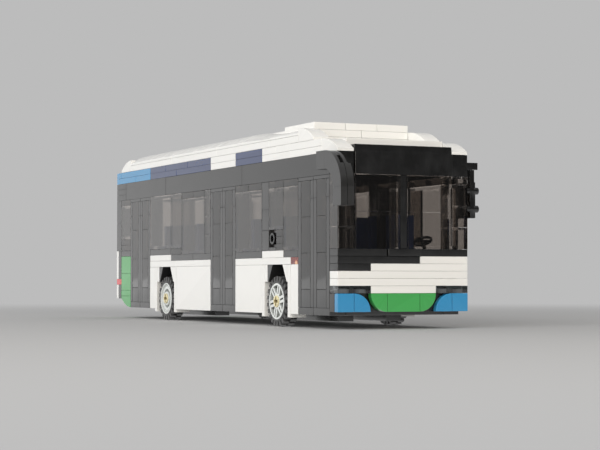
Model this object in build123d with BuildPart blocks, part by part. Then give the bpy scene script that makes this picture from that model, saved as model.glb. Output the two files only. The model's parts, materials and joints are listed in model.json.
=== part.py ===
from build123d import *
from math import cos, radians, sin
import os

os.makedirs("parts", exist_ok=True)

# A toy electric city bus, put together from plastic bricks, on four turning wheels.
# +X is forward, +Y is the bus's left, +Z is up, and the wheels stand on Z = 0.
# Places are counted on the brick grid: s in studs back from the front face, y in studs
# to the left of the middle, p in plates above the body's lower edge. Sizes are millimetres.

# The brick system
STUD = 8.0  # pitch of the grid along and across the bus
PLATE = 3.2  # height of one plate row
BRICK = 3  # plate rows in one brick
SEAM = 0.1  # half the gap between two bricks side by side
SEAM_Z = 0.04  # half the gap between two rows
LIP = 1.2  # upright edge at the low end of a curved slope
ON_SIDE = 0.4  # thickness, in studs, of a plate or tile laid on its side
SHELL = 1.5  # side walls of a brick or plate that is open below
SKIN = 1.0  # top of a brick or plate that is open below

# Lengths along the body, in studs
END = 1  # front and rear walls
LEAF_W = 2  # one leaf of a double door
BAY_FRONT = 9  # side wall between the front and the middle door
BAY_REAR = 11  # side wall between the middle and the rear door
TAIL = 2  # side wall behind the rear door
AXLE_SET = 3  # from an axle to the nearest door
NOSE = 2  # reach of the mirrors' arms ahead of the front face

# Places along the body, in studs back from the front face
DOOR_W = 2 * LEAF_W
FRONT_BAY = END + DOOR_W
MIDDLE_DOOR = FRONT_BAY + BAY_FRONT
REAR_BAY = MIDDLE_DOOR + DOOR_W
REAR_DOOR = REAR_BAY + BAY_REAR
TAIL_BAY = REAR_DOOR + DOOR_W
BACK = TAIL_BAY + TAIL
LENGTH = BACK + END
DOORS = {"front": END, "middle": MIDDLE_DOOR, "rear": REAR_DOOR}
AXLE_1 = FRONT_BAY + AXLE_SET
AXLE_2 = REAR_DOOR - AXLE_SET
AXLES = {"front": AXLE_1, "rear": AXLE_2}
MIDDLE = (AXLE_1 + AXLE_2) / 2

# Widths, in studs
HALF = 4  # from the middle to the outside of a side wall
WALL = 1  # thickness of a side wall
INNER = HALF - WALL
PANE = 0.2  # glass of a window brick
RIB = 0.2  # upright edge at each end of a window brick
SIDES = {"right": -1, "left": 1}

# Heights, in plates above the body's lower edge
SILL = 9
PANE_H = 9
HEAD = SILL + PANE_H
BAND_FOOT = HEAD + 1
BAND_TOP = BAND_FOOT + BRICK
STRIPE_MIDDLE = BAND_TOP + 1
STRIPE_TOP = BAND_TOP + 2
DECK_TOP = STRIPE_TOP + 1
ROOF_TOP = DECK_TOP + 2
RAIL = SILL - 1
LEDGE = 0.5  # upper and lower edge of a window brick

# The wheels
TYRE_R = 11.5  # to the tips of the lugs
TYRE_W = 7.0
TYRE_SECTION = 1.0  # rubber under the lugs
LUG_H = 2.2
LUG_W = 1.7
LUG_ROOT = 0.5  # depth of a lug inside the tyre
LUG_COUNT = 22
CARCASS_R = TYRE_R - LUG_H
RIM_R = CARCASS_R - TYRE_SECTION
RIM_WALL = 0.9
DISH = 1.8  # height of the rim's back disc
SPOKE_W = 1.2
SPOKE_SPREAD = 1.0  # from the middle of a pair to either spoke
SPOKE_PAIRS = 6
SPOKE_TURN = 12  # degrees
RIM_FLATS = 32  # flats on the rim's rounds
HUB_FLATS = 16  # flats on the rounds of the hub and the pin
HUB_R = 3.5
HUB_H = 6.8
PIN_R = 2.4
PIN_HOLD = 8.0  # length of the pin inside its brick
PIN_HEAD_R = 2.7
PIN_HEAD_H = 0.7
CROSS_W = 1.3
CROSS_SPAN = 4.2
CROSS_DEPTH = 2.0
RUNNING = 0.05  # play of a pin in its hole
WHEEL_GAP = 0.6  # between the wall's inner face and the wheel
AXLE_RISE = 1.75  # plates from the body's lower edge to the axles
AXLE_BRICK = 1  # studs, half the length of the bricks that hold the pins

# The wheel arches
ARCH_GAP = 1.3  # between the tyre and the upright strips beside it
ARCH = (TYRE_R + ARCH_GAP) / STUD  # half the opening, in studs
ARCH_OUT = ARCH + ON_SIDE
ARCH_FOOT = -0.5  # plates, lower end of the strips
ARCH_STEP = 4.5  # plates, where the small slopes narrow the opening
ARCH_TOP = RAIL - 1
CORNER_LIP = 1.0  # thin end of a small slope
CORNER_H = 5.6  # thick end of a small slope


def x_at(s):
    return (LENGTH - NOSE) / 2 * STUD - s * STUD


def z_at(p):
    return TYRE_R + (p - AXLE_RISE) * PLATE


def brick(s0, s1, y0, y1, p0, p1):
    """One brick over the given cells of the grid, less the seam round it."""
    with Locations((x_at((s0 + s1) / 2), (y0 + y1) / 2 * STUD, z_at((p0 + p1) / 2))):
        Box((s1 - s0) * STUD - 2 * SEAM, (y1 - y0) * STUD - 2 * SEAM, (p1 - p0) * PLATE - 2 * SEAM_Z)


def hollow_brick(s0, s1, y0, y1, p0, p1):
    """A brick or plate that is open below, as such pieces are."""
    brick(s0, s1, y0, y1, p0, p1)
    with Locations((x_at((s0 + s1) / 2), (y0 + y1) / 2 * STUD, z_at(p1) - SEAM_Z - SKIN)):
        Box(
            (s1 - s0) * STUD - 2 * SHELL,
            (y1 - y0) * STUD - 2 * SHELL,
            (p1 - p0) * PLATE - SEAM_Z - SKIN,
            align=(Align.CENTER, Align.CENTER, Align.MAX),
            mode=Mode.SUBTRACT,
        )


def wall(side, s0, s1, p0, p1, inner=INNER, outer=HALF):
    """One brick of a side wall; side is -1 on the right and 1 on the left."""
    y0, y1 = sorted((side * inner, side * outer))
    brick(s0, s1, y0, y1, p0, p1)


def both_walls(rows):
    for side in SIDES.values():
        for row in rows:
            wall(side, *row)


def window_brick(side, s0, s1, p0, p1):
    """A clear brick of a side wall, hollow from inside: its pane with an edge all round."""
    wall(side, s0, s1, p0, p1)
    with Locations((x_at((s0 + s1) / 2), side * (INNER + HALF - PANE) / 2 * STUD, z_at((p0 + p1) / 2))):
        Box(
            (s1 - s0 - 2 * RIB) * STUD,
            (WALL - PANE) * STUD,
            (p1 - p0 - 2 * LEDGE) * PLATE,
            mode=Mode.SUBTRACT,
        )


def end_window(s_inside, s_outside, y0, y1, p0, p1):
    """A clear brick of the front or rear wall: its pane with an edge at the left and the right."""
    brick(*sorted((s_inside, s_outside)), y0, y1, p0, p1)
    s_pane = s_outside + (PANE if s_inside > s_outside else -PANE)
    with Locations((x_at((s_inside + s_pane) / 2), (y0 + y1) / 2 * STUD, z_at((p0 + p1) / 2))):
        Box(
            abs(s_inside - s_pane) * STUD,
            (y1 - y0 - 2 * RIB) * STUD,
            (p1 - p0) * PLATE,
            mode=Mode.SUBTRACT,
        )


def split(s0, s1, pitch):
    """Equal pieces of a row, each about pitch studs long."""
    count = max(1, round((s1 - s0) / pitch))
    step = (s1 - s0) / count
    return [(s0 + i * step, s0 + (i + 1) * step) for i in range(count)]


def curved_slope(foot, facing, run, rise, width):
    """A slope whose back stands on foot and whose round top falls to a lip, towards facing."""
    plane = Plane(origin=foot, x_dir=facing, z_dir=Vector(*facing).cross(Vector(0, 0, 1)))
    with BuildSketch(plane) as profile:
        with BuildLine():
            Polyline((0, rise), (0, 0), (run, 0), (run, LIP))
            TangentArc((0, rise), (run, LIP), tangent=(1, 0))
        make_face()
    extrude(profile.sketch, amount=width / 2, both=True)


def slope_along(s_high, s_low, y0, y1, p0, p1):
    """A curved slope that falls towards the front or the rear."""
    ahead = 1 if s_low < s_high else -1
    foot = (x_at(s_high) + ahead * SEAM, (y0 + y1) / 2 * STUD, z_at(p0) + SEAM_Z)
    run = abs(s_high - s_low) * STUD - 2 * SEAM
    rise = (p1 - p0) * PLATE - 2 * SEAM_Z
    curved_slope(foot, (ahead, 0, 0), run, rise, (y1 - y0) * STUD - 2 * SEAM)


def slope_across(side, s0, s1, y_high, y_low, p0, p1):
    """A curved slope that falls towards a side."""
    foot = (x_at((s0 + s1) / 2), side * (y_high * STUD + SEAM), z_at(p0) + SEAM_Z)
    run = (y_low - y_high) * STUD - 2 * SEAM
    rise = (p1 - p0) * PLATE - 2 * SEAM_Z
    curved_slope(foot, (0, side, 0), run, rise, (s1 - s0) * STUD - 2 * SEAM)


def save(piece, name):
    piece.part.label = name
    export_step(piece.part, f"parts/{name}.step")


# Chassis: floor plates, sills, long plates under the axles, and the bricks that hold the pins
BEAM = {"reach": 4, "inner": 1, "outer": 2}  # studs from the axle, and from the middle
FLOOR = [
    (END, AXLE_1 - AXLE_BRICK),
    (AXLE_1 + AXLE_BRICK, MIDDLE),
    (MIDDLE, AXLE_2 - AXLE_BRICK),
    (AXLE_2 + AXLE_BRICK, BACK),
]
with BuildPart() as chassis_floor:
    for s0, s1 in FLOOR:
        hollow_brick(s0, s1, -INNER, INNER, 0, 1)
    for s in DOORS.values():
        brick(s, s + DOOR_W, INNER, HALF, 0, 1)
    for s in AXLES.values():
        both_walls([(s - BEAM["reach"], s + BEAM["reach"], -1, 0, BEAM["inner"], BEAM["outer"])])
save(chassis_floor, "chassis_floor")

with BuildPart() as axle_bricks:
    for s in AXLES.values():
        brick(s - AXLE_BRICK, s + AXLE_BRICK, -INNER, INNER, 0, BRICK)
        with Locations(Location((x_at(s), 0, TYRE_R), (90, 0, 0))):
            Cylinder(PIN_R + RUNNING, 2 * INNER * STUD, mode=Mode.SUBTRACT)
save(axle_bricks, "axle_bricks")

# Wheels: a lugged tyre on a spoked rim, on a pin that turns in the chassis
# Columns of the rows of lugs: start and length as shares of the width, turn as a share of the pitch
LUG_ROWS = [(0.04, 0.44, 0.5), (0.52, 0.44, 0.0)]
for end, s in AXLES.items():
    for hand, side in SIDES.items():
        corner = f"{end}_{hand}"
        hub = Plane(
            origin=(x_at(s), side * (INNER * STUD + WHEEL_GAP), TYRE_R),
            x_dir=(1, 0, 0),
            z_dir=(0, side, 0),
        )

        with BuildPart() as tyre:
            with BuildSketch(hub):
                RegularPolygon(CARCASS_R, LUG_COUNT)
                RegularPolygon(RIM_R + RUNNING, RIM_FLATS, mode=Mode.SUBTRACT)
            extrude(amount=TYRE_W)
            for start, share, turn in LUG_ROWS:
                first = 90 + turn * 360 / LUG_COUNT
                with BuildSketch(hub.offset(start * TYRE_W)):
                    with PolarLocations(TYRE_R, LUG_COUNT, start_angle=first):
                        Rectangle(LUG_H + LUG_ROOT, LUG_W, align=(Align.MAX, Align.CENTER))
                extrude(amount=share * TYRE_W)
        save(tyre, f"tyre_{corner}")

        with BuildPart() as rim:
            with BuildSketch(hub):
                RegularPolygon(RIM_R, RIM_FLATS)
                RegularPolygon(PIN_R + RUNNING, HUB_FLATS, major_radius=False, mode=Mode.SUBTRACT)
            extrude(amount=TYRE_W)
            with BuildSketch(hub.offset(DISH)):
                RegularPolygon(RIM_R - RIM_WALL, RIM_FLATS)
                RegularPolygon(HUB_R, HUB_FLATS, mode=Mode.SUBTRACT)
                with PolarLocations((HUB_R + RIM_R - RIM_WALL) / 2, SPOKE_PAIRS, start_angle=SPOKE_TURN):
                    with Locations((0, SPOKE_SPREAD), (0, -SPOKE_SPREAD)):
                        Rectangle(RIM_R - HUB_R, SPOKE_W, mode=Mode.SUBTRACT)
            extrude(amount=TYRE_W - DISH, mode=Mode.SUBTRACT)
            with BuildSketch(hub.offset(HUB_H)):
                RegularPolygon(RIM_R - RIM_WALL, RIM_FLATS)
            extrude(amount=TYRE_W - HUB_H, mode=Mode.SUBTRACT)
        save(rim, f"rim_{corner}")

        with BuildPart() as axle_pin:
            with BuildSketch(hub.offset(-WHEEL_GAP - PIN_HOLD)):
                RegularPolygon(PIN_R, HUB_FLATS)
            extrude(amount=PIN_HOLD + WHEEL_GAP + HUB_H)
            with BuildSketch(hub.offset(HUB_H)):
                RegularPolygon(PIN_HEAD_R, HUB_FLATS)
            extrude(amount=PIN_HEAD_H)
            with BuildSketch(hub.offset(HUB_H + PIN_HEAD_H)):
                Rectangle(CROSS_SPAN, CROSS_W)
                Rectangle(CROSS_W, CROSS_SPAN)
            extrude(amount=-CROSS_DEPTH, mode=Mode.SUBTRACT)
        save(axle_pin, f"axle_pin_{corner}")

# White lower walls with the wheel arches
# Columns: s0, s1, p0, p1
LOWER = [
    (FRONT_BAY, AXLE_1 - ARCH_OUT, 0, ARCH_TOP),
    (AXLE_1 + ARCH_OUT, MIDDLE_DOOR, 0, ARCH_TOP),
    (REAR_BAY, AXLE_2 - ARCH_OUT, 0, ARCH_TOP),
    (AXLE_2 + ARCH_OUT, REAR_DOOR, 0, ARCH_TOP),
    (AXLE_1 - 2, AXLE_1 + 2, ARCH_TOP, RAIL),
    (AXLE_1 + 2, MIDDLE_DOOR, ARCH_TOP, RAIL),
    (REAR_BAY, AXLE_2 - 2, ARCH_TOP, RAIL),
    (AXLE_2 - 2, REAR_DOOR, ARCH_TOP, RAIL),
    (AXLE_1 - 1, AXLE_1 + 2, RAIL, SILL),
    (AXLE_2 - 1, REAR_DOOR, RAIL, SILL),
]
for hand, side in SIDES.items():
    with BuildPart() as lower_wall:
        for row in LOWER:
            wall(side, *row)
        for s in AXLES.values():
            wall(side, s - ARCH_OUT, s - ARCH, ARCH_FOOT, ARCH_TOP)
            wall(side, s + ARCH, s + ARCH_OUT, ARCH_FOOT, ARCH_TOP)
            wall(side, s + ARCH - ON_SIDE, s + ARCH, ARCH_STEP, ARCH_TOP)
        if hand == "left":
            # Plain wall where the right side has its doors
            for s in DOORS.values():
                wall(side, s, s + DOOR_W, 1, ARCH_TOP)
                wall(side, s, s + DOOR_W, ARCH_TOP, RAIL)
    save(lower_wall, f"lower_wall_{hand}")


def arch_corner(side, s, ahead):
    """A small slope on its side that narrows the top of a wheel arch."""
    low = z_at(ARCH_STEP) + SEAM_Z
    high = z_at(ARCH_TOP) - SEAM_Z
    back = x_at(s) - ahead * SEAM
    middle = (0, side * (INNER + HALF) / 2 * STUD, 0)
    with BuildSketch(Plane(origin=middle, x_dir=(1, 0, 0), z_dir=(0, -1, 0))) as face:
        with BuildLine():
            Polyline(
                (back, low),
                (back, high),
                (back - ahead * CORNER_H, high),
                (back - ahead * CORNER_LIP, low),
                close=True,
            )
        make_face()
    extrude(face.sketch, amount=WALL * STUD / 2 - SEAM, both=True)


with BuildPart() as arch_corners_white:
    for side in SIDES.values():
        for s in AXLES.values():
            arch_corner(side, s - ARCH, 1)
save(arch_corners_white, "arch_corners_white")

with BuildPart() as arch_corners_dark:
    for side in SIDES.values():
        for s in AXLES.values():
            arch_corner(side, s + ARCH - ON_SIDE, -1)
save(arch_corners_dark, "arch_corners_dark")

# Doors of the right side: two leaves each, framed by plates on edge
DOOR_KICK = 3.5  # plates, top of the panel below the glass
DOOR_HEAD = BAND_FOOT - 0.5
DOOR_POST = DOOR_HEAD - 2.5  # joint between the two plates of a post
DOOR_BRICKS = 3
for name, s in DOORS.items():
    with BuildPart() as door:
        for a, b in split(s, s + DOOR_W, LEAF_W):
            wall(SIDES["right"], a, b, 0, 1)
            wall(SIDES["right"], a, b, DOOR_HEAD, BAND_FOOT)
            wall(SIDES["right"], a + ON_SIDE, b - ON_SIDE, 1, DOOR_KICK)
            for post in (a, b - ON_SIDE):
                wall(SIDES["right"], post, post + ON_SIDE, 1, DOOR_POST)
                wall(SIDES["right"], post, post + ON_SIDE, DOOR_POST, DOOR_HEAD)
    save(door, f"door_{name}")

with BuildPart() as door_glass:
    for s in DOORS.values():
        for a, b in split(s, s + DOOR_W, LEAF_W):
            for p0, p1 in split(DOOR_KICK, DOOR_HEAD, (DOOR_HEAD - DOOR_KICK) / DOOR_BRICKS):
                wall(SIDES["right"], a + ON_SIDE, b - ON_SIDE, p0, p1)
save(door_glass, "door_glass")

# Grey sills and window posts
PORT_FOOT = SILL + 0.5  # plates
PORT_TOP = SILL + 3
PORT_SINK = 1.6  # from the wall's outside to the charging port's face
# Columns: s0, s1, p0, p1
FRAMES = [
    (FRONT_BAY, AXLE_1 - 1, RAIL, SILL),
    (AXLE_1 + 2, MIDDLE_DOOR, RAIL, SILL),
    (REAR_BAY, REAR_BAY + 3, RAIL, SILL),
    (REAR_BAY + 3, AXLE_2 - 1, RAIL, SILL),
    (AXLE_2 - 1, REAR_DOOR, SILL, SILL + 1),
    (TAIL_BAY, BACK, SILL, SILL + 1),
    (AXLE_1 + 1, AXLE_1 + 2, SILL, SILL + 3),
    (AXLE_1 + 1, AXLE_1 + 2, SILL + 3, SILL + 6),
    (AXLE_1 + 1, AXLE_1 + 2, SILL + 6, BAND_FOOT),
]
with BuildPart() as window_frames:
    both_walls(FRAMES)
    for s in DOORS.values():
        wall(SIDES["left"], s, s + DOOR_W, RAIL, SILL)
    wall(SIDES["right"], AXLE_1, AXLE_1 + 1, SILL, PORT_FOOT)
    port_backing = HALF - ON_SIDE - PORT_SINK / STUD
    wall(SIDES["right"], AXLE_1, AXLE_1 + 1, PORT_FOOT, PORT_TOP, outer=port_backing)
save(window_frames, "window_frames")

# Tinted window bricks
# Columns: s0, s1, p0, p1
PANES = {
    "right": [
        (FRONT_BAY, AXLE_1 - 1, SILL, HEAD),
        (AXLE_1 - 1, AXLE_1 + 1, PORT_TOP, HEAD),
    ],
    "left": [
        (END, FRONT_BAY, SILL, HEAD),
        (FRONT_BAY, AXLE_1 + 1, SILL, HEAD),
        (MIDDLE_DOOR, REAR_BAY, SILL, HEAD),
        (REAR_DOOR, TAIL_BAY, SILL, HEAD),
    ],
    "both": [
        (AXLE_1 + 2, MIDDLE_DOOR, SILL, HEAD),
        (REAR_BAY + 1, AXLE_2 - 3, SILL, HEAD),
        (AXLE_2 - 3, AXLE_2 - 1, SILL + 1, BAND_FOOT),
        (AXLE_2 - 1, REAR_DOOR, SILL + 1, BAND_FOOT),
        (TAIL_BAY, BACK, SILL + 3, HEAD),
    ],
}
for hand, side in SIDES.items():
    with BuildPart() as window_panes:
        for row in PANES[hand] + PANES["both"]:
            window_brick(side, *row)
    save(window_panes, f"window_panes_{hand}")

# Tinted plates over and under the panes, and posts of small tinted bricks
TINTED_PITCH = 2  # studs, length of a tinted plate
TINTED_OVER = {
    "right": [],
    "left": [(s, s + DOOR_W) for s in DOORS.values()],
    "both": [
        (FRONT_BAY, AXLE_1 + 1),
        (AXLE_1 + 2, MIDDLE_DOOR),
        (REAR_BAY + 1, AXLE_2 - 3),
        (TAIL_BAY, BACK),
    ],
}
# Columns: s0, s1, p0, p1
TINTED_UNDER = [
    (AXLE_2 - 3, AXLE_2 - 1, SILL, SILL + 1),
    (TAIL_BAY, BACK, SILL + 1, SILL + 2),
    (TAIL_BAY, BACK, SILL + 2, SILL + 3),
]
with BuildPart() as tinted_plates:
    both_walls(TINTED_UNDER)
    for hand, side in SIDES.items():
        for row in TINTED_OVER[hand] + TINTED_OVER["both"]:
            for s0, s1 in split(*row, TINTED_PITCH):
                wall(side, s0, s1, HEAD, BAND_FOOT)
    for p0, p1 in split(SILL, PORT_TOP, 1):
        wall(SIDES["right"], AXLE_1 - 1, AXLE_1, p0, p1)
save(tinted_plates, "tinted_plates")

POST_ROWS = split(SILL, HEAD, BRICK) + [(HEAD, BAND_FOOT)]
with BuildPart() as tinted_posts:
    for side in SIDES.values():
        y0, y1 = sorted((side * INNER, side * HALF))
        for s0, s1 in [(0, END), (REAR_BAY, REAR_BAY + 1)]:
            for p0, p1 in POST_ROWS:
                hollow_brick(s0, s1, y0, y1, p0, p1)
save(tinted_posts, "tinted_posts")

# Black band over the windows, and the coloured stripe over it
# Columns: s0, s1
BAND = [(0, END), (END, MIDDLE_DOOR - 1), (MIDDLE_DOOR - 1, AXLE_2), (AXLE_2, BACK - 1)]
with BuildPart() as band:
    for s0, s1 in BAND:
        both_walls([(s0, s1, BAND_FOOT, BAND_TOP)])
    for p0, p1 in split(BAND_FOOT, BAND_TOP, 1):
        both_walls([(BACK - 1, LENGTH, p0, p1)])
    brick(BACK, LENGTH, -INNER, INNER, BAND_FOOT, BAND_TOP)
save(band, "band")

SLOPE_RUN = 2  # studs, length of a curved slope
# Columns: s of the joints in the lower row, s of the joints in the upper row
STRIPE = {
    "white": [
        ((SLOPE_RUN, AXLE_1 - 2, AXLE_1 + 2), (SLOPE_RUN, AXLE_1, AXLE_1 + 2)),
        ((MIDDLE_DOOR, REAR_BAY), (MIDDLE_DOOR, REAR_BAY)),
    ],
    "navy": [
        ((AXLE_1 + 2, MIDDLE_DOOR), (AXLE_1 + 2, MIDDLE_DOOR)),
        ((REAR_BAY, AXLE_2 - 2, REAR_DOOR), (REAR_BAY, AXLE_2 - 4, AXLE_2, REAR_DOOR)),
    ],
    "blue": [((REAR_DOOR, TAIL_BAY - 1, LENGTH), (REAR_DOOR, BACK, LENGTH))],
}
for colour, runs in STRIPE.items():
    with BuildPart() as stripe:
        for lower, upper in runs:
            for s0, s1 in zip(lower, lower[1:]):
                both_walls([(s0, s1, BAND_TOP, STRIPE_MIDDLE)])
            for s0, s1 in zip(upper, upper[1:]):
                both_walls([(s0, s1, STRIPE_MIDDLE, STRIPE_TOP)])
        if colour == "blue":
            brick(BACK, LENGTH, -INNER, INNER, BAND_TOP, STRIPE_MIDDLE)
            brick(BACK, LENGTH, -INNER, 0, STRIPE_MIDDLE, STRIPE_TOP)
            brick(BACK, LENGTH, 0, INNER, STRIPE_MIDDLE, STRIPE_TOP)
    save(stripe, f"stripe_{colour}")

# Roof: deck, curved slopes along the sides, tiles between them and slopes at the ends
BOX_L = 4  # studs, length of the box that stands wide on the roof's front
BOX_END = FRONT_BAY + BOX_L
BOX_TILE = 1  # studs, half the width of the box's middle tile
ROOF_BAY_COUNT = 6
ROOF_BAY = (TAIL_BAY - BOX_END) / ROOF_BAY_COUNT
ROOF_BAYS = split(BOX_END, TAIL_BAY, ROOF_BAY)
with BuildPart() as roof_deck:
    brick(END, FRONT_BAY, -INNER, INNER, STRIPE_MIDDLE, STRIPE_TOP)
    for s0, s1 in [(FRONT_BAY, BOX_END)] + split(BOX_END, TAIL_BAY, 2 * ROOF_BAY):
        brick(s0, s1, -HALF, 0, STRIPE_TOP, DECK_TOP)
        brick(s0, s1, 0, HALF, STRIPE_TOP, DECK_TOP)
save(roof_deck, "roof_deck")

with BuildPart() as roof_side_slopes:
    for side in SIDES.values():
        slope_across(side, FRONT_BAY, BOX_END, INNER, HALF, DECK_TOP, ROOF_TOP)
        for s0, s1 in ROOF_BAYS:
            slope_across(side, s0, s1, HALF - SLOPE_RUN, HALF, DECK_TOP, ROOF_TOP)
save(roof_side_slopes, "roof_side_slopes")

with BuildPart() as roof_tiles:
    for s0, s1 in ROOF_BAYS:
        brick(s0, s1, SLOPE_RUN - HALF, 0, DECK_TOP, ROOF_TOP)
        brick(s0, s1, 0, HALF - SLOPE_RUN, DECK_TOP, ROOF_TOP)
    for y0, y1 in [(-INNER, 0), (0, INNER)]:
        brick(FRONT_BAY, BOX_END, y0, y1, DECK_TOP, DECK_TOP + 1)
    for y0, y1 in [(-INNER, -BOX_TILE), (-BOX_TILE, BOX_TILE), (BOX_TILE, INNER)]:
        brick(FRONT_BAY, BOX_END, y0, y1, DECK_TOP + 1, ROOF_TOP)
save(roof_tiles, "roof_tiles")

with BuildPart() as roof_end_slopes:
    for side in SIDES.values():
        y0, y1 = sorted((side * INNER, side * HALF))
        slope_along(SLOPE_RUN, 0, y0, y1, BAND_TOP, STRIPE_TOP)
        slope_along(FRONT_BAY, FRONT_BAY - SLOPE_RUN, y0, y1, STRIPE_TOP, STRIPE_TOP + 2)
    for y0, y1 in split(-HALF, HALF, HALF / 2):
        slope_along(TAIL_BAY, BACK, y0, y1, STRIPE_TOP, STRIPE_TOP + 2)
save(roof_end_slopes, "roof_end_slopes")

# Front: stepped white and black plates, lamps, bumper, windscreen and destination board
LAMP_W = 2  # studs
LAMP_IN = HALF - LAMP_W
STEP = 1  # studs from the middle to the step between black and white
BUMPER_FOOT = 0.5  # plates
BUMPER_TOP = SILL - 6
# Columns: y0, y1, row counted up from the bumper's top
FRONT_WHITE = [
    (-LAMP_IN, LAMP_IN, 0),
    (-HALF, HALF, 1),
    (-HALF, HALF, 2),
    (-LAMP_IN, HALF, 3),
    (STEP, HALF, 4),
]
FRONT_BLACK = [(-HALF, -LAMP_IN, 3), (-HALF, STEP, 4), (-HALF, -STEP, 5), (STEP, HALF, 5)]
with BuildPart() as front_white:
    for y0, y1, row in FRONT_WHITE:
        brick(0, END, y0, y1, BUMPER_TOP + row, BUMPER_TOP + row + 1)
save(front_white, "front_white")

with BuildPart() as front_black:
    for y0, y1, row in FRONT_BLACK:
        brick(0, END, y0, y1, BUMPER_TOP + row, BUMPER_TOP + row + 1)
    brick(ON_SIDE, END, -HALF, HALF, BUMPER_FOOT, BUMPER_TOP)
    brick(0, END, -INNER, INNER, BAND_TOP, STRIPE_MIDDLE)
save(front_black, "front_black")

with BuildPart() as headlights:
    for y0, y1 in [(-HALF, -LAMP_IN), (LAMP_IN, HALF)]:
        brick(0, END, y0, y1, BUMPER_TOP, BUMPER_TOP + 1)
save(headlights, "headlights")

QUARTER = 1  # studs, width of a bumper tile with a round corner


def bumper_quarter(y_square, y_round, round_top):
    """A bumper tile with one round corner, at y_round, on top or at the foot."""
    side = 1 if y_round > y_square else -1
    width = abs(y_round - y_square) * STUD - 2 * SEAM
    tall = (BUMPER_TOP - BUMPER_FOOT) * PLATE - 2 * SEAM_Z
    flat = 0 if round_top else tall
    far = tall - flat
    corner = (x_at(0) - SEAM, y_square * STUD + side * SEAM, z_at(BUMPER_FOOT) + SEAM_Z)
    with BuildSketch(Plane(origin=corner, x_dir=(0, side, 0), z_dir=(side, 0, 0))) as face:
        with BuildLine():
            Polyline((0, far), (0, flat), (width, flat))
            TangentArc((0, far), (width, flat), tangent=(1, 0))
        make_face()
    extrude(face.sketch, amount=-side * (ON_SIDE * STUD - 2 * SEAM))


GREEN_HALF = INNER - 2 * QUARTER
with BuildPart() as bumper_blue:
    for side in SIDES.values():
        y0, y1 = sorted((side * INNER, side * HALF))
        brick(0, ON_SIDE, y0, y1, BUMPER_FOOT, BUMPER_TOP)
        bumper_quarter(side * INNER, side * (INNER - QUARTER), True)
save(bumper_blue, "bumper_blue")

with BuildPart() as bumper_green:
    brick(0, ON_SIDE, -GREEN_HALF, GREEN_HALF, BUMPER_FOOT, BUMPER_TOP)
    for side in SIDES.values():
        bumper_quarter(side * GREEN_HALF, side * (INNER - QUARTER), False)
save(bumper_green, "bumper_green")

PILLAR = 0.2  # studs, half the width of the windscreen's middle pillar
PILLAR_T = 0.5  # studs
BOARD_OUT = 0.1  # studs that the destination board stands out
with BuildPart() as windscreen:
    for y0, y1 in [(-INNER, -PILLAR), (PILLAR, INNER)]:
        for p0, p1 in split(SILL, BAND_FOOT, (BAND_FOOT - SILL) / 2):
            end_window(END, 0, y0, y1, p0, p1)
save(windscreen, "windscreen")

with BuildPart() as windscreen_pillar:
    brick(0, PILLAR_T, -PILLAR, PILLAR, SILL, BAND_FOOT)
    brick(-BOARD_OUT, END, -STEP, STEP, RAIL, SILL)
save(windscreen_pillar, "windscreen_pillar")

with BuildPart() as destination_board:
    brick(-BOARD_OUT, END - BOARD_OUT, -INNER, INNER, BAND_FOOT, BAND_TOP)
save(destination_board, "destination_board")

# Mirrors: arms of tiles on edge, curved forward on the right, a board held by two bars on the left
ARM_W = NOSE * STUD / 2  # width of the curved arm, seen from the side
ARM_T = ON_SIDE * STUD
ARM_LAYERS = 2
# Cuts in the arm's outer curve: a step along its inner face, and a slot between its two layers
# Columns: near and far face in layers from the wall, degrees over the horizontal, width, depth
ARM_CUTS = [(0, 0.5, 64, 13.8, 2.5), (1, 1.5, 48, 5.0, 4.0)]
with BuildPart() as mirror_right:
    middle = (x_at(0), z_at(BAND_TOP) - 2 * ARM_W)
    for layer in range(ARM_LAYERS):
        outside = -HALF * STUD - layer * ARM_T - SEAM
        with BuildSketch(Plane(origin=(0, outside, 0), x_dir=(1, 0, 0), z_dir=(0, -1, 0))):
            with Locations(middle):
                Circle(2 * ARM_W - SEAM)
                Circle(ARM_W + SEAM, mode=Mode.SUBTRACT)
            with Locations((middle[0] + ARM_W, middle[1] + ARM_W)):
                Rectangle(2 * ARM_W, 2 * ARM_W, mode=Mode.INTERSECT)
            with Locations((middle[0] - ARM_W / 2, middle[1] + 1.5 * ARM_W)):
                Rectangle(ARM_W - SEAM, ARM_W - 2 * SEAM)
            with Locations((middle[0] + 1.5 * ARM_W, middle[1] - ARM_W / 2)):
                Rectangle(ARM_W - 2 * SEAM, ARM_W - SEAM)
        extrude(amount=ARM_T - 2 * SEAM)
    for near, far, angle, wide, deep in ARM_CUTS:
        face = (middle[0], -HALF * STUD - near * ARM_T, middle[1])
        with BuildSketch(Plane(origin=face, x_dir=(1, 0, 0), z_dir=(0, -1, 0))):
            with PolarLocations(2 * ARM_W, 1, start_angle=angle):
                Rectangle(2 * deep, wide)
        extrude(amount=(far - near) * ARM_T, mode=Mode.SUBTRACT)
save(mirror_right, "mirror_right")

MIRROR_AT = (0.1, 0.8)  # studs, front and rear edge of the left mirror's bracket and board
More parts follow.
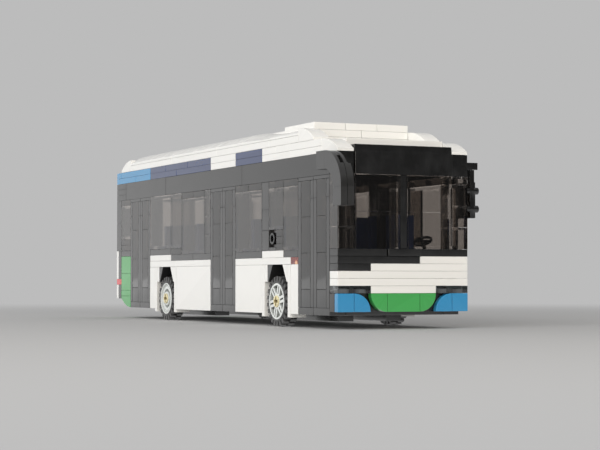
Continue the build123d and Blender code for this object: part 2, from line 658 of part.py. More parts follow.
# Columns: studs from the wall to the near and the far side, s0, s1, p0, p1
MIRROR_LEFT = [
    (0, 0.72, *MIRROR_AT, HEAD + 2, HEAD + 3),
    (0.21, 0.5, *MIRROR_AT, HEAD - 4.7, HEAD + 2),
    (0.5, 0.68, 0.3, 2.0, HEAD - 4.65, HEAD + 0.35),
]
BAR_R = 1.6
BAR_FLATS = 12
BAR_REACH = ARM_LAYERS * ARM_T  # as far out as the arm on the right
BARS = {"s": 0.3, "rows": (HEAD - 3.4, HEAD - 0.9)}
with BuildPart() as mirror_left:
    for near, far, s0, s1, p0, p1 in MIRROR_LEFT:
        brick(s0, s1, HALF + near, HALF + far, p0, p1)
    for p in BARS["rows"]:
        foot = (x_at(BARS["s"]), HALF * STUD + SEAM, z_at(p))
        with BuildSketch(Plane(origin=foot, x_dir=(1, 0, 0), z_dir=(0, 1, 0))):
            RegularPolygon(BAR_R, BAR_FLATS)
        extrude(amount=BAR_REACH - 2 * SEAM)
save(mirror_left, "mirror_left")

# Rear: green lower corners, white tiles, lamps, window and the bricks behind them
GREEN_FOOT = SILL - 7  # plates, top of the curved foot
with BuildPart() as rear_green:
    for p0, p1 in [(SILL - 3, SILL), (SILL - 6, SILL - 3), (GREEN_FOOT, SILL - 6)]:
        both_walls([(TAIL_BAY, BACK, p0, p1)])
    for side in SIDES.values():
        run = TAIL * STUD - 2 * SEAM
        rise = GREEN_FOOT * PLATE - 2 * SEAM_Z
        start = (x_at(TAIL_BAY) - SEAM, side * (INNER + HALF) / 2 * STUD, z_at(0) + SEAM_Z)
        with BuildSketch(Plane(origin=start, x_dir=(-1, 0, 0), z_dir=(0, 1, 0))):
            with BuildLine():
                Polyline((0, 0), (0, rise), (run, rise), (run, rise - LIP))
                TangentArc((0, 0), (run, rise - LIP), tangent=(1, 0))
            make_face()
        extrude(amount=WALL * STUD / 2 - SEAM, both=True)
save(rear_green, "rear_green")

REAR_FOOT = 1.5  # plates
LAMP_FOOT = 4  # plates, lower edge of the tail lights
LAMP_TOP = LAMP_FOOT + 1
REAR_SILL = SILL + 1
CORNERS = [(-HALF, -INNER), (INNER, HALF)]  # y0, y1
with BuildPart() as rear_tiles:
    for p0, p1 in [(REAR_FOOT, LAMP_FOOT), (LAMP_TOP, REAR_SILL)]:
        for y0, y1 in CORNERS + [(-INNER, 0), (0, INNER)]:
            brick(LENGTH - ON_SIDE, LENGTH, y0, y1, p0, p1)
    brick(LENGTH - ON_SIDE, LENGTH, -INNER, INNER, LAMP_FOOT, LAMP_TOP)
save(rear_tiles, "rear_tiles")

with BuildPart() as tail_lights:
    for y0, y1 in CORNERS:
        brick(BACK, LENGTH, y0, y1, LAMP_FOOT, LAMP_TOP)
save(tail_lights, "tail_lights")

REAR_POST = REAR_SILL + 5  # plates, joint between the two bricks of a post
with BuildPart() as rear_frame:
    brick(BACK, LENGTH - ON_SIDE, -HALF, HALF, REAR_FOOT, LAMP_FOOT)
    brick(BACK, LENGTH - ON_SIDE, -INNER, INNER, LAMP_FOOT, LAMP_TOP)
    brick(BACK, LENGTH - ON_SIDE, -HALF, HALF, LAMP_TOP, REAR_SILL)
    for y0, y1 in CORNERS:
        brick(BACK, LENGTH, y0, y1, REAR_SILL, REAR_POST)
        brick(BACK, LENGTH, y0, y1, REAR_POST, BAND_FOOT)
save(rear_frame, "rear_frame")

with BuildPart() as rear_window:
    end_window(BACK, LENGTH, -INNER, INNER, REAR_SILL, BAND_FOOT)
save(rear_window, "rear_window")

# Side markers and the charging port
with BuildPart() as side_markers:
    both_walls([(FRONT_BAY, AXLE_1 - 2, ARCH_TOP, RAIL)])
save(side_markers, "side_markers")

PORT_R = 1.6
PORT_RING_R = 2.7
PORT_RING_H = 1.7
PORT_FLATS = 20  # flats on the ring's outside
with BuildPart() as charging_port:
    port_middle = (
        x_at(AXLE_1 + 0.5),
        PORT_SINK - HALF * STUD,
        z_at((PORT_FOOT + PORT_TOP) / 2),
    )
    port_face = Plane(origin=port_middle, x_dir=(1, 0, 0), z_dir=(0, -1, 0))
    with BuildSketch(port_face):
        Rectangle(STUD - 2 * SEAM, (PORT_TOP - PORT_FOOT) * PLATE - 2 * SEAM_Z)
    extrude(amount=-(ON_SIDE * STUD - SEAM))
    with BuildSketch(port_face):
        RegularPolygon(PORT_RING_R, PORT_FLATS)
    extrude(amount=PORT_RING_H)
    with BuildSketch(port_face.offset(PORT_RING_H)):
        Circle(PORT_R)
    extrude(amount=-(PORT_RING_H + ON_SIDE * STUD), mode=Mode.SUBTRACT)
save(charging_port, "charging_port")

# Cabin: seats, poles, partition behind the driver, dashboard and steering wheel
SEAT_LENGTH = 1.6  # studs
SEAT_HALF = 0.8  # studs, half a seat's width
SEAT_GAP = 0.1  # studs between a seat and the wall
SEAT_BACK_T = 0.4  # studs
SEAT_FOOT_T = 1  # studs
SEAT_PITCH = 2  # studs
SEAT_START = 0.2  # studs from the start of a bay to its first seat
DRIVER = 3  # studs, front edge of the driver's seat
SEAT_MIDDLE = INNER - SEAT_GAP - SEAT_HALF
CUSHION_FOOT = 6  # plates
CUSHION_TOP = 8  # plates
SEAT_TOP = 14  # plates
# Columns: s0, s1, p of the seats' foot, sides
SEAT_BAYS = [
    (FRONT_BAY, AXLE_1 - AXLE_BRICK, 1, (-1, 1)),
    (AXLE_1 - AXLE_BRICK, AXLE_1 + AXLE_BRICK, BRICK, (-1, 1)),
    (AXLE_1 + 2, MIDDLE_DOOR, 1, (-1, 1)),
    (MIDDLE_DOOR, REAR_BAY, 1, (1,)),
    (REAR_BAY + 1, AXLE_2 - AXLE_BRICK, 1, (-1, 1)),
    (AXLE_2 - AXLE_BRICK, AXLE_2 + AXLE_BRICK, BRICK, (-1, 1)),
    (AXLE_2 + AXLE_BRICK, REAR_DOOR, 1, (-1, 1)),
    (REAR_DOOR, TAIL_BAY, 1, (1,)),
]


def seat(side, s, p_foot):
    front = x_at(s)
    back = x_at(s + SEAT_LENGTH)
    rest = back + SEAT_BACK_T * STUD
    foot = back + SEAT_FOOT_T * STUD
    middle = (0, side * SEAT_MIDDLE * STUD, 0)
    with BuildSketch(Plane(origin=middle, x_dir=(1, 0, 0), z_dir=(0, -1, 0))) as profile:
        with BuildLine():
            Polyline(
                (back, z_at(p_foot)),
                (back, z_at(SEAT_TOP)),
                (rest, z_at(SEAT_TOP)),
                (rest, z_at(CUSHION_TOP)),
                (front, z_at(CUSHION_TOP)),
                (front, z_at(CUSHION_FOOT)),
                (foot, z_at(CUSHION_FOOT)),
                (foot, z_at(p_foot)),
                close=True,
            )
        make_face()
    extrude(profile.sketch, amount=SEAT_HALF * STUD, both=True)


with BuildPart() as seats:
    seat(SIDES["left"], DRIVER, 1)
    for s0, s1, p_foot, sides in SEAT_BAYS:
        for row in range(int((s1 - s0) / SEAT_PITCH)):
            for side in sides:
                seat(side, s0 + SEAT_START + row * SEAT_PITCH, p_foot)
save(seats, "seats")

POLE_R = 1.6
POLE_SIDES = 12
POLE_GAP = 0.3  # studs from a seat's side to a pole's middle
POLE_Y = SEAT_MIDDLE - SEAT_HALF - POLE_GAP
# Columns: s, side
POLES = [
    (FRONT_BAY + 0.5, -1),
    (MIDDLE_DOOR - 0.4, -1),
    (REAR_BAY + 0.6, -1),
    (REAR_BAY + 0.6, 1),
    (REAR_DOOR - 0.4, -1),
    (REAR_DOOR - 0.4, 1),
]
with BuildPart() as poles:
    with BuildSketch(Plane.XY.offset(z_at(1) + SEAM_Z)):
        for s, side in POLES:
            with Locations((x_at(s), side * POLE_Y * STUD)):
                RegularPolygon(POLE_R, POLE_SIDES)
    extrude(amount=(STRIPE_TOP - 1) * PLATE - 2 * SEAM_Z)
save(poles, "poles")

PARTITION_IN = 1  # studs from the middle
with BuildPart() as cab_partition:
    brick(FRONT_BAY - ON_SIDE / 2, FRONT_BAY + ON_SIDE / 2, PARTITION_IN, INNER, 1, HEAD)
save(cab_partition, "cab_partition")

with BuildPart() as dashboard:
    brick(END, END + 1, -INNER, INNER, 1, SILL)
save(dashboard, "dashboard")

STEER_R = 3.9  # to the middle of the steering wheel's ring
STEER_T = 0.5  # half the ring's own width and height
STEER_FLATS = 20  # flats on the ring's rounds
STEER_LEAN = 25  # degrees
STEER_RISE = 1.2  # plates over the dashboard
STEER_AT = {"s": END + 1.1, "y": INNER - 0.7}
COLUMN_R = 0.9
COLUMN_FLATS = 8
with BuildPart() as steering_wheel:
    lean = radians(STEER_LEAN)
    middle = (x_at(STEER_AT["s"]), STEER_AT["y"] * STUD, z_at(SILL + STEER_RISE))
    drop = STEER_RISE * PLATE - COLUMN_R * sin(lean) - SEAM
    ring = Plane(origin=middle, x_dir=(0, 1, 0), z_dir=(-sin(lean), 0, cos(lean)))
    with BuildSketch(ring):
        RegularPolygon(STEER_R + STEER_T, STEER_FLATS)
        RegularPolygon(STEER_R - STEER_T, STEER_FLATS, mode=Mode.SUBTRACT)
        Rectangle(2 * STEER_R, 2 * STEER_T)
    extrude(amount=STEER_T, both=True)
    with BuildSketch(ring):
        RegularPolygon(COLUMN_R, COLUMN_FLATS)
    extrude(amount=-drop / cos(lean))
save(steering_wheel, "steering_wheel")
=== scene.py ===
import json
from math import cos, pi, radians, sin

import bmesh
import bpy
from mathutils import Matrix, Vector


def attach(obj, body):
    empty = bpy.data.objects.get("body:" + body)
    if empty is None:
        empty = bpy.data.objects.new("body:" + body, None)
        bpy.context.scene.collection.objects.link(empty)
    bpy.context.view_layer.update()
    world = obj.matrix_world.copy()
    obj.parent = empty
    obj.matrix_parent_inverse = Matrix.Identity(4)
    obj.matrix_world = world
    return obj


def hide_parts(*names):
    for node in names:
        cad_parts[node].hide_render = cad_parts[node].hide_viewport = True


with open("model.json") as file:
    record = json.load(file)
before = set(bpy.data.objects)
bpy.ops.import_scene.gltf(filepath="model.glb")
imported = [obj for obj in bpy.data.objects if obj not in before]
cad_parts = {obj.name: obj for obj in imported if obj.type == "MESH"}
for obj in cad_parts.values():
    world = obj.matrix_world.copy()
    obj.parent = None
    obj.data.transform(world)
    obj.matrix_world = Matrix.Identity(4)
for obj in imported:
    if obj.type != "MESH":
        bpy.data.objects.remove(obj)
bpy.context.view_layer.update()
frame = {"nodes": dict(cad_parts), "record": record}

# The looks of a toy electric city bus, put together from plastic bricks. Lengths are metres where no
# other unit is named, and headings are degrees from +X towards +Y.
MM = 0.001
STUD = 8.0 * MM  # pitch of the brick grid
PLATE = 3.2 * MM  # height of one plate row
SEAM = 0.04 * MM  # half the gap between two rows of bricks

# Edges of the moulded bricks
EDGE_WIDTH = 0.18 * MM
EDGE_STEPS = 2  # flats across a rounded edge
EDGE_ANGLE = 35  # degrees, sharper edges are rounded
WELD = 0.001 * MM  # corners closer than this are one
CRISP = ("tinted_brick",)  # slots whose edges stay sharp

# A painted highlight in the lower front corner of the side markers: an opaque amber patch that stands for a
# lamp's glint through the red plastic
GLINT_INSET = 1.9 * MM  # from the front edge
GLINT_RISE = 0.3 * MM  # from the lower edge
GLINT_RADIUS = 1.7 * MM
GLINT_CORE = 0.6  # share of the radius inside its soft edge

# The roof's side slopes beside the box at its front
BOX_LENGTH = 4 * STUD
BOX_SLOPE_SHARE = 0.5  # of the height of the slopes behind them

# The dished rims of the rear wheels: radius and height over the inner face, in millimetres
DISH_PROFILE = [
    (8.25, 0.0),
    (8.25, 7.0),
    (7.7, 7.0),
    (7.4, 6.2),
    (7.0, 6.0),
    (6.4, 6.4),
    (5.7, 6.6),
    (5.0, 6.4),
    (4.6, 5.4),
    (4.1, 5.2),
    (3.8, 6.3),
    (3.5, 6.78),
    (2.5, 6.78),
    (2.5, 0.0),
]
DISH_FLATS = 48

# Studs of the brick below, which show through the headlight plates
KNOB = {"Radius": 2.4 * MM, "Height": 1.7 * MM}
KNOB_FLATS = 16
HEADLIGHT_COLUMNS = (-3.5, -2.5, 2.5, 3.5)  # studs to the left of the middle

# Tubes under the floor plates, which grip the studs of a plate below
TUBE = {"Outer radius": 3.25 * MM, "Bore radius": 2.4 * MM, "Height": 2.14 * MM}
TUBE_FLATS = 16
TUBE_ROWS = range(-2, 3)  # studs to the left of the middle
AXLE_RISE = 1.75 * PLATE  # from the floor's underside to the axles
# Columns: front and rear end of each floor plate, in studs ahead of the front axle
FLOOR_PLATES = [(7, 1), (-1, -9), (-9, -17), (-19, -27)]

# The studio: a floor that fades into the backdrop
BACKDROP = "#bcbcbc"
FLOOR = "#c0c0c0"
FLOOR_REACH = 40.0  # from the bus to the edges
FLOOR_FADE = (0.25, 0.8)  # distances from the bus at which it starts to fade and is gone
FLOOR_LEVEL = 1.0  # brightness of the faded floor, one more where gloss mirrors it

# A dark screen stands ahead of the bus on its left, and its front mirrors that
SCREEN_HEADING = 24
SCREEN_EDGE = (0.80, 0.97)  # cosines of the angles at which it starts and is full
SCREEN_LEVEL = 0.2  # share of the backdrop's brightness that is left on it

# Soft lamps round the bus; aim is the height over the bus's middle that a lamp faces
LAMP_POWER = 4  # watts for each square metre of a lamp at level 1
LAMPS = {
    "side_panel": {
        "heading": 212,
        "height": 0.55,
        "distance": 1.25,
        "width": 1.9,
        "tall": 1.1,
        "level": 0.47,
        "aim": 0.55,
    },
    "fill_panel": {
        "heading": -62,
        "height": 0.55,
        "distance": 1.4,
        "width": 1.2,
        "tall": 1.0,
        "level": 1.94,
    },
    "front_panel": {
        "heading": -15,
        "height": 0.4,
        "distance": 1.3,
        "width": 1.2,
        "tall": 0.8,
        "level": 1.88,
        "colour": "#fff6ea",
    },
    "top_panel": {
        "heading": 180,
        "height": 1.5,
        "distance": 0.01,
        "width": 1.6,
        "tall": 1.6,
        "level": 0.08,
    },
}

# The photograph's view
CAMERA_AT = Vector((0.78543, -0.35274, 0.02088))
CAMERA_HEADING = 154.978
CAMERA_PITCH = 1.874  # degrees above the horizon
CAMERA_LENS = 102.35  # millimetres
CAMERA_SENSOR = 36  # millimetres, its width
CAMERA_RANGE = (0.01, 200)  # nearest and farthest that it sees

# Sockets of the Mix node when it mixes colours
MIX_A, MIX_B, MIX_RESULT = 6, 7, 2


def linear(code):
    """A hex sRGB colour as linear red, green, blue and alpha."""
    channels = [int(code[i : i + 2], 16) / 255 for i in (1, 3, 5)]
    return [c / 12.92 if c <= 0.04045 else ((c + 0.055) / 1.055) ** 2.4 for c in channels] + [1.0]


def add(tree, kind, inputs=None, **settings):
    """Adds one node; an input is a value, or the socket that feeds it."""
    made = tree.nodes.new(kind)
    for key, value in settings.items():
        setattr(made, key, value)
    for key, value in (inputs or {}).items():
        if isinstance(value, bpy.types.NodeSocket):
            tree.links.new(value, made.inputs[key])
        else:
            made.inputs[key].default_value = value
    return made


def new_material(name):
    """A material with an empty node tree, and that tree."""
    material = bpy.data.materials.new(name)
    material.use_nodes = True
    material.node_tree.nodes.clear()
    return material, material.node_tree


def new_object(name, data):
    """An object of the scene, at the origin, that shows a mesh, a lamp or a camera."""
    made = bpy.data.objects.new(name, data)
    bpy.context.scene.collection.objects.link(made)
    return made


def per_mm(size):
    """The scale of a pattern whose features are that many millimetres apart."""
    return 1 / (size * MM)


def direction(heading, pitch=0.0):
    """The direction of a heading, tilted up by the pitch."""
    a, e = radians(heading), radians(pitch)
    return Vector((cos(e) * cos(a), cos(e) * sin(a), sin(e)))


# Moulded ABS
RUB_SIZE = 5  # millimetres between rub marks
RUB_RANGE = (0.35, 0.75)  # values of the noise where rubbing starts and is full
RUB_DULL = 0.1  # roughness that rubbing adds
SINK_SIZE = 9  # millimetres between the places where the wall shrank
SINK_DEPTH = 0.06 * MM
RECESS_DEPTH = 3.0 * MM  # how far the painted shade of the recesses looks for a wall


def moulded_abs(name, colour, shade, roughness=0.16, ior=1.54, recess_shade=None):
    """Injection-moulded ABS: even colour that differs a little from brick to brick, a bright gloss that
    wavers slightly where the wall shrank in the mould, and faint rub marks from handling. Where a dark
    colour is given for the recesses, painted shade darkens the narrow recesses by ambient occlusion."""
    material, tree = new_material(name)
    place = add(tree, "ShaderNodeTexCoord").outputs["Object"]
    brick = add(tree, "ShaderNodeNewGeometry").outputs["Random Per Island"]
    tone = add(
        tree,
        "ShaderNodeMix",
        {0: brick, MIX_A: linear(colour), MIX_B: linear(shade)},
        data_type="RGBA",
    )
    base = tone.outputs[MIX_RESULT]
    # Painted shade: ambient occlusion darkens the narrow recesses towards the given dark colour
    if recess_shade:
        recess_open = add(
            tree,
            "ShaderNodeAmbientOcclusion",
            {"Distance": RECESS_DEPTH},
            samples=8,
            only_local=True,
        )
        swept = add(
            tree,
            "ShaderNodeMix",
            {0: recess_open.outputs["AO"], MIX_A: linear(recess_shade), MIX_B: base},
            data_type="RGBA",
        )
        base = swept.outputs[MIX_RESULT]
    rub = add(tree, "ShaderNodeTexNoise", {"Vector": place, "Scale": per_mm(RUB_SIZE), "Detail": 4.0})
    gloss = add(
        tree,
        "ShaderNodeMapRange",
        {
            "Value": rub.outputs[0],
            "From Min": RUB_RANGE[0],
            "From Max": RUB_RANGE[1],
            "To Min": roughness,
            "To Max": roughness + RUB_DULL,
        },
    )
    sink = add(tree, "ShaderNodeTexNoise", {"Vector": place, "Scale": per_mm(SINK_SIZE), "Detail": 1.0})
    waver = add(
        tree,
        "ShaderNodeBump",
        {"Height": sink.outputs[0], "Strength": 0.25, "Distance": SINK_DEPTH},
    )
    shader = add(
        tree,
        "ShaderNodeBsdfPrincipled",
        {
            "Base Color": base,
            "Roughness": gloss.outputs[0],
            "Normal": waver.outputs[0],
            "IOR": ior,
        },
    )
    add(tree, "ShaderNodeOutputMaterial", {"Surface": shader.outputs[0]})
    return material


# Clear polycarbonate
FLOW_SIZE = 7  # millimetres between flow marks
FLOW_DEPTH = 0.03 * MM


def clear_polycarbonate(name, colour, shadow, clear=1.0, spot=None, glint_colour=None):
    """Clear polycarbonate, moulded: see-through, tinted in the mass, glossy, with faint flow marks. The
    light that it lets into the bus is given by shadow. At a spot, on both sides of the bus, an opaque
    patch in the given colour is a painted highlight that stands for a lamp's glint."""
    material, tree = new_material(name)
    place = add(tree, "ShaderNodeTexCoord").outputs["Object"]
    flow = add(tree, "ShaderNodeTexNoise", {"Vector": place, "Scale": per_mm(FLOW_SIZE), "Detail": 1.0})
    waver = add(
        tree,
        "ShaderNodeBump",
        {"Height": flow.outputs[0], "Strength": 0.1, "Distance": FLOW_DEPTH},
    )
    tint = linear(colour)
    # Painted highlight: an opaque amber patch round the spot stands for a lamp's glint
    if spot:
        one_side = add(tree, "ShaderNodeVectorMath", {0: place}, operation="ABSOLUTE")
        away = add(
            tree,
            "ShaderNodeVectorMath",
            {0: one_side.outputs[0], 1: spot},
            operation="DISTANCE",
        )
        edge = add(
            tree,
            "ShaderNodeMapRange",
            {
                "Value": away.outputs["Value"],
                "From Min": GLINT_RADIUS * GLINT_CORE,
                "From Max": GLINT_RADIUS,
                "To Max": clear,
            },
        )
        mixed_tint = add(
            tree,
            "ShaderNodeMix",
            {0: edge.outputs[0], MIX_A: linear(glint_colour), MIX_B: tint},
            data_type="RGBA",
        )
        tint = mixed_tint.outputs[MIX_RESULT]
        clear = edge.outputs[0]
    glass = add(
        tree,
        "ShaderNodeBsdfPrincipled",
        {
            "Base Color": tint,
            "Roughness": 0.04,
            "IOR": 1.5,
            "Transmission Weight": clear,
            "Normal": waver.outputs[0],
        },
    )
    path = add(tree, "ShaderNodeLightPath")
    lit = add(tree, "ShaderNodeBsdfTransparent", {"Color": linear(shadow)})
    mixed = add(
        tree,
        "ShaderNodeMixShader",
        {0: path.outputs["Is Shadow Ray"], 1: glass.outputs[0], 2: lit.outputs[0]},
    )
    add(tree, "ShaderNodeOutputMaterial", {"Surface": mixed.outputs[0]})
    return material


# Moulded rubber
WEAR_SIZE = 4  # millimetres between rubbed places
SKIN_SIZE = 0.5  # millimetres; the skin of the mould is finer, and is drawn coarser so that it shows
SKIN_DEPTH = 0.05 * MM


def moulded_rubber(name, colour, shade):
    """Moulded rubber: dull, dark grey, a little paler where it is rubbed, with a fine sandy skin."""
    material, tree = new_material(name)
    place = add(tree, "ShaderNodeTexCoord").outputs["Object"]
    wear = add(tree, "ShaderNodeTexNoise", {"Vector": place, "Scale": per_mm(WEAR_SIZE), "Detail": 3.0})
    tone = add(
        tree,
        "ShaderNodeMix",
        {0: wear.outputs[0], MIX_A: linear(colour), MIX_B: linear(shade)},
        data_type="RGBA",
    )
    skin = add(tree, "ShaderNodeTexNoise", {"Vector": place, "Scale": per_mm(SKIN_SIZE), "Detail": 2.0})
    grain = add(
        tree,
        "ShaderNodeBump",
        {"Height": skin.outputs[0], "Strength": 0.4, "Distance": SKIN_DEPTH},
    )
    shader = add(
        tree,
        "ShaderNodeBsdfPrincipled",
        {
            "Base Color": tone.outputs[MIX_RESULT],
            "Roughness": 0.55,
            "Normal": grain.outputs[0],
            "IOR": 1.52,
        },
    )
    add(tree, "ShaderNodeOutputMaterial", {"Surface": shader.outputs[0]})
    return material


def box(node):
    """The low and the high corner of a CAD node."""
    corners = [v.co for v in frame["nodes"][node].data.vertices]
    return [[pick(c[i] for c in corners) for i in range(3)] for pick in (min, max)]


def marker_glint():
    """Where the painted amber glint sits: the lower front corner of the side markers, a little way in from
    their edges.
    """
    low, high = box("side_markers")
    return high[0] - GLINT_INSET, high[1], low[2] + GLINT_RISE


# One finish for each material slot of the record
FINISHES = {
    "white_brick": moulded_abs("white ABS, moulded gloss", "#efeeea", "#f3f2ee"),
    "black_brick": moulded_abs("black ABS, moulded gloss", "#0c0c0c", "#121212"),
    "dark_grey_brick": moulded_abs("charcoal ABS, moulded gloss", "#262626", "#2c2c2c"),
    "tinted_brick": clear_polycarbonate("smoke polycarbonate, clear moulded", "#c3bdb8", "#dcd7d3"),
    "tinted_solid": clear_polycarbonate("smoke polycarbonate, thick", "#4a433d", "#141211"),
    "clear_brick": clear_polycarbonate("clear polycarbonate, clear moulded", "#8c9294", "#b4b8ba"),
    "blue_brick": moulded_abs("sky blue ABS, moulded gloss", "#2f8cbf", "#3491c4"),
    "navy_brick": moulded_abs("navy ABS, moulded gloss", "#223460", "#273966"),
    "green_brick": moulded_abs("bright green ABS, moulded gloss", "#3ba04c", "#40a652"),
    "red_brick": moulded_abs("red ABS, moulded gloss", "#d8343a", "#dc3a40"),
    # The side markers carry a painted amber highlight, a lamp's glint, in their lower front corner
    "amber_brick": clear_polycarbonate(
        "red polycarbonate, clear moulded",
        "#f04a44",
        "#a02528",
        clear=0.85,
        spot=marker_glint(),
        glint_colour="#e6b183",
    ),
    "pole_grey": moulded_abs("light grey ABS, moulded gloss", "#a4a5a6", "#aaabac"),
    # The pin and the rims get painted shade in their narrow recesses
    "tan_pin": moulded_abs(
        "tan acetal, moulded",
        "#e8dcae",
        "#ece0b4",
        roughness=0.3,
        ior=1.48,
        recess_shade="#6a5a30",
    ),
    "rim_grey": moulded_abs("pale grey ABS, moulded gloss", "#e2e6e3", "#e6eae7", recess_shade="#4a504c"),
    "tyre_rubber": moulded_rubber("tyre rubber, moulded matt", "#3c3c3c", "#4e4e4e"),
}


def soften_edges(piece):
    """Rounds the edges of every brick, as the mould leaves them."""
    weld = piece.modifiers.new("join", "WELD")
    weld.merge_threshold = WELD
    edge = piece.modifiers.new("edge", "BEVEL")
    edge.width = EDGE_WIDTH
    edge.segments = EDGE_STEPS
    edge.limit_method = "ANGLE"
    edge.angle_limit = radians(EDGE_ANGLE)
    edge.use_clamp_overlap = True
    # The rounded edges don't bend the shading of the large faces beside them
    piece.modifiers.new("even", "WEIGHTED_NORMAL")


def finish_bricks():
    """Gives every CAD node the finish of its slot, and rounds its edges where they don't stay sharp."""
    for part in frame["record"]["subparts"]:
        piece = frame["nodes"][part["node"]]
        piece.material_slots[0].material = FINISHES[part["material_slot"]]
        if part["material_slot"] not in CRISP:
            soften_edges(piece)


def low_box_slopes():
    """The roof's side slopes, with the pair beside the box one plate high instead of two."""
    low, high = box("roof_side_slopes")
    merged = bmesh.new()
    merged.from_mesh(frame["nodes"]["roof_side_slopes"].data)
    bmesh.ops.remove_doubles(merged, verts=merged.verts, dist=WELD)
    merged.verts.index_update()
    points = []
    for corner in merged.verts:
        x, y, z = corner.co
        if x > high[0] - BOX_LENGTH:
            z = low[2] + (z - low[2]) * BOX_SLOPE_SHARE
        points.append((x, y, z))
    mesh = bpy.data.meshes.new("box_and_side_slopes")
    mesh.from_pydata(points, [], [[v.index for v in face.verts] for face in merged.faces])
    for made, face in zip(mesh.polygons, merged.faces):
        made.use_smooth = face.smooth
    merged.free()
    mesh.materials.append(FINISHES["white_brick"])
    piece = new_object("box_and_side_slopes", mesh)
    soften_edges(piece)
    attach(piece, "bus")
    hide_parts("roof_side_slopes")


def dished_rim(side):
    """The rim of a rear wheel: a lip, a round dish and the boss that holds the pin."""
    node = f"rim_rear_{side}"
    low, high = box(node)
    x, z = (low[0] + high[0]) / 2, (low[2] + high[2]) / 2
    foot, outward = (low[1], 1) if side == "left" else (high[1], -1)
    points = []
    faces = []
    count = len(DISH_PROFILE)
    for k in range(DISH_FLATS):
        turn = 2 * pi * k / DISH_FLATS
        here, there = k * count, (k + 1) % DISH_FLATS * count
        for i, (radius, rise) in enumerate(DISH_PROFILE):
            reach = radius * MM
            points.append((x + reach * cos(turn), foot + outward * rise * MM, z + reach * sin(turn)))
            after = (i + 1) % count
            faces.append((here + i, here + after, there + after, there + i))
    mesh = bpy.data.meshes.new(f"dished_{node}")
    mesh.from_pydata(points, [], faces)
    shell = bmesh.new()
    shell.from_mesh(mesh)
    bmesh.ops.recalc_face_normals(shell, faces=shell.faces)
    shell.to_mesh(mesh)
    shell.free()
    mesh.materials.append(FINISHES["rim_grey"])
    mesh.shade_smooth()
    mesh.set_sharp_from_angle(angle=radians(EDGE_ANGLE))
    piece = new_object(f"dished_{node}", mesh)
    soften_edges(piece)
    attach(piece, f"wheel_rear_{side}")
    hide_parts(node)


def tube(tree, given):
    """A round tube, open at both ends."""
    outer, bore = given["Outer radius"], given["Bore radius"]
    both = add(tree, "ShaderNodeMath", {0: outer, 1: bore}, operation="ADD").outputs[0]
    middle = add(tree, "ShaderNodeMath", {0: both, 1: 0.5}, operation="MULTIPLY").outputs[0]
    thick = add(tree, "ShaderNodeMath", {0: outer, 1: bore}, operation="SUBTRACT").outputs[0]
    round_line = add(tree, "GeometryNodeCurvePrimitiveCircle", {"Resolution": TUBE_FLATS, "Radius": middle})
    section = add(
        tree,
        "GeometryNodeCurvePrimitiveQuadrilateral",
        {"Width": thick, "Height": given["Height"]},
    )
    swept = add(
        tree,
        "GeometryNodeCurveToMesh",
        {"Curve": round_line.outputs["Curve"], "Profile Curve": section.outputs["Curve"]},
    )
    return swept.outputs["Mesh"]


def knob(tree, given):
    """A stud of a brick."""
    sizes = {"Vertices": KNOB_FLATS, "Radius": given["Radius"], "Depth": given["Height"]}
    return add(tree, "GeometryNodeMeshCylinder", sizes).outputs["Mesh"]


def repeat_tree(name, sizes, shape):
    """Stands a shape on every point of a mesh."""
    tree = bpy.data.node_groups.new(name, "GeometryNodeTree")
    tree.interface.new_socket("Geometry", in_out="INPUT", socket_type="NodeSocketGeometry")
    for size in sizes:
        tree.interface.new_socket(size, in_out="INPUT", socket_type="NodeSocketFloat")
    tree.interface.new_socket("Material", in_out="INPUT", socket_type="NodeSocketMaterial")
    tree.interface.new_socket("Geometry", in_out="OUTPUT", socket_type="NodeSocketGeometry")
    given = add(tree, "NodeGroupInput").outputs
    points = add(tree, "GeometryNodeMeshToPoints", {"Mesh": given["Geometry"]})
    stood = add(
        tree,
        "GeometryNodeInstanceOnPoints",
        {"Points": points.outputs["Points"], "Instance": shape(tree, given)},
    )
    real = add(tree, "GeometryNodeRealizeInstances", {"Geometry": stood.outputs["Instances"]})
    done = add(
        tree,
        "GeometryNodeSetMaterial",
        {"Geometry": real.outputs["Geometry"], "Material": given["Material"]},
    )
    add(tree, "NodeGroupOutput", {"Geometry": done.outputs["Geometry"]})
    return tree


def stand(name, spots, sizes, shape, slot):
    """One piece of the bus with the shape at every spot."""
    grid = bpy.data.meshes.new(name)
    grid.from_pydata(spots, [], [])
    piece = new_object(name, grid)
    tree = repeat_tree(name, sizes, shape)
    maker = piece.modifiers.new("repeat", "NODES")
    maker.node_group = tree
    values = {**sizes, "Material": FINISHES[slot]}
    for socket in tree.interface.items_tree:
        if socket.in_out == "INPUT" and socket.name in values:
            maker[socket.identifier] = values[socket.name]
    ready = piece.evaluated_get(bpy.context.evaluated_depsgraph_get())
    piece.data = bpy.data.meshes.new_from_object(ready)
    piece.modifiers.remove(maker)
    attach(piece, "bus")


def headlight_studs():
    """The studs that show through the headlights. They are black on the real brick; their light grey is a
    painted highlight for the glints on them.
    """
    low, high = box("headlights")
    x = high[0] - STUD / 2
    z = low[2] + SEAM + KNOB["Height"] / 2
    # Painted highlight: the studs take the light grey finish instead of the black brick's own colour
    stand("headlight_studs", [(x, y * STUD, z) for y in HEADLIGHT_COLUMNS], KNOB, knob, "pole_grey")


def floor_tubes():
    """The tubes in the hollow undersides of the floor plates."""
    joints = frame["record"]["behaviour"]["joints"]
    wheel = next(joint for joint in joints if joint["child"] == "wheel_front_right")
    axle_x, _, axle_z = wheel["pos_m"]
    middle_z = axle_z - AXLE_RISE + SEAM + TUBE["Height"] / 2
    spots = [
        (axle_x + s * STUD, y * STUD, middle_z)
        for front, rear in FLOOR_PLATES
        for s in range(rear + 1, front)
        for y in TUBE_ROWS
    ]
    stand("floor_tubes", spots, TUBE, tube, "dark_grey_brick")


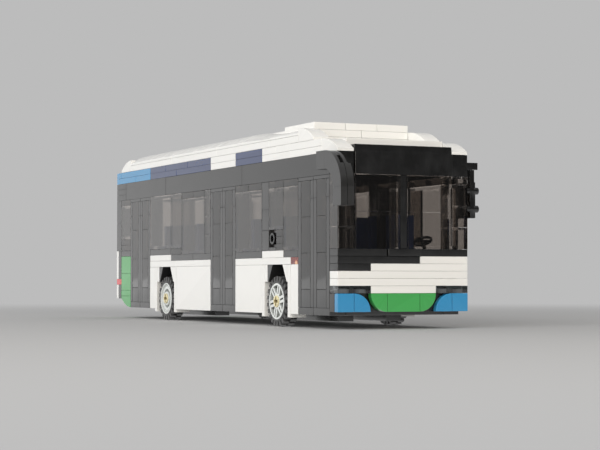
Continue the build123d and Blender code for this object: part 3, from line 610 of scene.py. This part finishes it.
def backdrop_floor():
    """A grey floor that fades into the backdrop away from the bus, and that gloss mirrors as white."""
    material, tree = new_material("studio floor, matt grey")
    place = add(tree, "ShaderNodeTexCoord").outputs["Object"]
    away = add(tree, "ShaderNodeVectorMath", {0: place}, operation="LENGTH")
    fade = add(
        tree,
        "ShaderNodeMapRange",
        {"Value": away.outputs["Value"], "From Min": FLOOR_FADE[0], "From Max": FLOOR_FADE[1]},
        interpolation_type="SMOOTHSTEP",
    )
    gloss = add(tree, "ShaderNodeLightPath").outputs["Is Glossy Ray"]
    shown = add(tree, "ShaderNodeMath", {0: fade.outputs[0], 1: gloss}, operation="MAXIMUM")
    level = add(tree, "ShaderNodeMath", {0: gloss, 1: FLOOR_LEVEL}, operation="ADD")
    matt = add(tree, "ShaderNodeBsdfDiffuse", {"Color": linear(FLOOR)})
    plain = add(tree, "ShaderNodeEmission", {"Color": linear(BACKDROP), "Strength": level.outputs[0]})
    mixed = add(tree, "ShaderNodeMixShader", {0: shown.outputs[0], 1: matt.outputs[0], 2: plain.outputs[0]})
    add(tree, "ShaderNodeOutputMaterial", {"Surface": mixed.outputs[0]})

    mesh = bpy.data.meshes.new("floor")
    ways = [(-1, -1), (1, -1), (1, 1), (-1, 1)]
    mesh.from_pydata([(x * FLOOR_REACH, y * FLOOR_REACH, 0) for x, y in ways], [], [(0, 1, 2, 3)])
    mesh.materials.append(material)
    new_object("floor", mesh)


def backdrop_world():
    """A plain grey backdrop; what the bus mirrors of it has the dark screen."""
    world = bpy.data.worlds.new("studio")
    world.use_nodes = True
    tree = world.node_tree
    tree.nodes.clear()
    way = add(tree, "ShaderNodeTexCoord").outputs["Generated"]
    towards = add(
        tree,
        "ShaderNodeVectorMath",
        {0: way, 1: direction(SCREEN_HEADING)},
        operation="DOT_PRODUCT",
    )
    screen = add(
        tree,
        "ShaderNodeMapRange",
        {
            "Value": towards.outputs["Value"],
            "From Min": SCREEN_EDGE[0],
            "From Max": SCREEN_EDGE[1],
            "To Min": 1.0,
            "To Max": SCREEN_LEVEL,
        },
        interpolation_type="SMOOTHSTEP",
    )
    path = add(tree, "ShaderNodeLightPath")
    level = add(
        tree,
        "ShaderNodeMath",
        {0: screen.outputs[0], 1: path.outputs["Is Camera Ray"]},
        operation="MAXIMUM",
    )
    shade = add(tree, "ShaderNodeBackground", {"Color": linear(BACKDROP), "Strength": level.outputs[0]})
    add(tree, "ShaderNodeOutputWorld", {"Surface": shade.outputs[0]})
    bpy.context.scene.world = world


def soft_panel(name, heading, height, distance, width, tall, level, colour="#ffffff", aim=0.05):
    """A flat soft lamp, placed round the bus by heading and height above the floor, facing it. Neither the
    camera nor the glass shows it."""
    lamp = bpy.data.lights.new(name, "AREA")
    lamp.shape = "RECTANGLE"
    lamp.size = width
    lamp.size_y = tall
    lamp.energy = LAMP_POWER * width * tall * level
    lamp.color = linear(colour)[:3]
    holder = new_object(name, lamp)
    holder.location = distance * direction(heading) + Vector((0, 0, height))
    facing = Vector((0, 0, aim)) - holder.location
    holder.rotation_mode = "QUATERNION"
    holder.rotation_quaternion = facing.to_track_quat("-Z", "Y")
    holder.visible_camera = False
    holder.visible_transmission = False


def photo_camera():
    """The camera at the photograph's view."""
    lens = bpy.data.cameras.new("photo")
    lens.sensor_width = CAMERA_SENSOR
    lens.sensor_fit = "HORIZONTAL"
    lens.lens = CAMERA_LENS
    lens.clip_start, lens.clip_end = CAMERA_RANGE
    camera = new_object("photo", lens)
    camera.location = CAMERA_AT
    camera.rotation_mode = "QUATERNION"
    camera.rotation_quaternion = direction(CAMERA_HEADING, CAMERA_PITCH).to_track_quat("-Z", "Y")
    bpy.context.scene.camera = camera


finish_bricks()
low_box_slopes()
dished_rim("right")
dished_rim("left")
headlight_studs()
floor_tubes()

backdrop_floor()
backdrop_world()
for lamp_name, lamp_values in LAMPS.items():
    soft_panel(lamp_name, **lamp_values)
photo_camera()
bpy.context.scene.view_settings.view_transform = "Standard"
